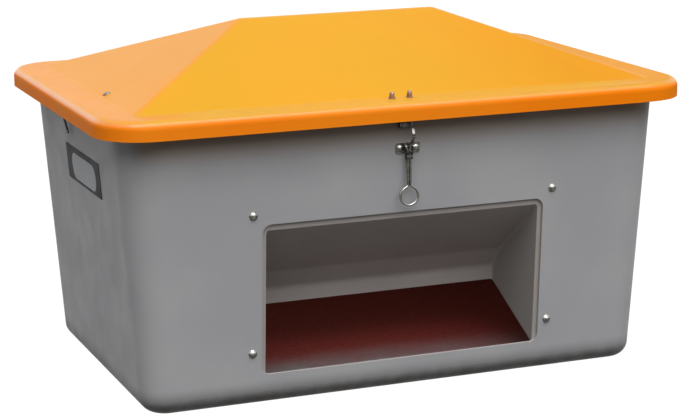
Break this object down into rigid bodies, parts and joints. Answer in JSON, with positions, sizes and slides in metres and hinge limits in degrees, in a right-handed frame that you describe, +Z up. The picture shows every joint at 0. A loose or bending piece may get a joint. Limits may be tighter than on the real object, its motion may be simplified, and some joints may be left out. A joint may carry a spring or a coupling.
{
  "type": "grit salt bin",
  "caption": "Free-standing grit salt bin: tapered grey tub with a hooded dispensing opening, hinged orange hipped lid and a lever latch with a pull ring.",
  "frame": {"origin": "on the ground, under the middle of the bin", "axes": "+X along the front towards the bin's right as seen from the front, -Y out of the front with the dispensing opening, +Z up"},
  "size_m": [1.2, 0.81, 0.7],
  "materials": {
    "grp_grey": "weathered gelcoat",
    "grp_orange": "glossy gelcoat",
    "film_faced_board": "smooth dark phenolic film",
    "stainless": "satin",
    "label": "bare and matt"
  },
  "bodies": {
    "bin": {"tub_body": "grp_grey", "floor_board": "film_faced_board", "chute_hood": "grp_grey", "hood_bolts": "stainless", "hood_washers": "stainless", "hood_nuts": "stainless", "latch_base_plate": "stainless", "latch_base_bolts": "stainless", "latch_base_washers": "stainless", "latch_base_nuts": "stainless", "latch_pivot_pin": "stainless", "hinge_body_leaf_left": "stainless", "hinge_body_leaf_right": "stainless", "hinge_pin_left": "stainless", "hinge_pin_right": "stainless", "hinge_body_bolts": "stainless", "hinge_body_washers": "stainless", "hinge_body_nuts": "stainless", "wall_hook": "stainless", "label_plate": "label"},
    "lid": {"lid_shell": "grp_orange", "keeper_bracket": "stainless", "keeper_bolts": "stainless", "keeper_washers": "stainless", "keeper_cap_nuts": "stainless", "hinge_lid_leaf_left": "stainless", "hinge_lid_leaf_right": "stainless", "hinge_lid_bolts": "stainless", "hinge_lid_washers": "stainless", "hinge_lid_cap_nuts": "stainless", "tether_bolt": "stainless", "tether_washer": "stainless", "tether_eye_nut": "stainless"},
    "latch_lever": {"latch_yoke": "stainless", "latch_pull_wire": "stainless", "latch_hook_pin": "stainless"},
    "latch_hook": {"latch_hook": "stainless"}
  },
  "joints": [
    {"name": "lid_hinge", "type": "hinge", "parent": "bin", "child": "lid", "pos_m": [0, 0.3885, 0.549], "axis": [-1, 0, 0], "range_deg": [0, 95]},
    {"name": "latch_lever_swing", "type": "hinge", "parent": "bin", "child": "latch_lever", "pos_m": [-0.002, -0.37379, 0.48812], "axis": [-1, 0, 0], "range_deg": [0, 115]},
    {"name": "latch_hook_swing", "type": "hinge", "parent": "latch_lever", "child": "latch_hook", "pos_m": [-0.002, -0.37379, 0.47962], "axis": [1, 0, 0], "range_deg": [0, 115]}
  ],
  "couplings": [
    {"joint": "latch_hook_swing", "follows": "latch_lever_swing", "ratio": 1}
  ]
}
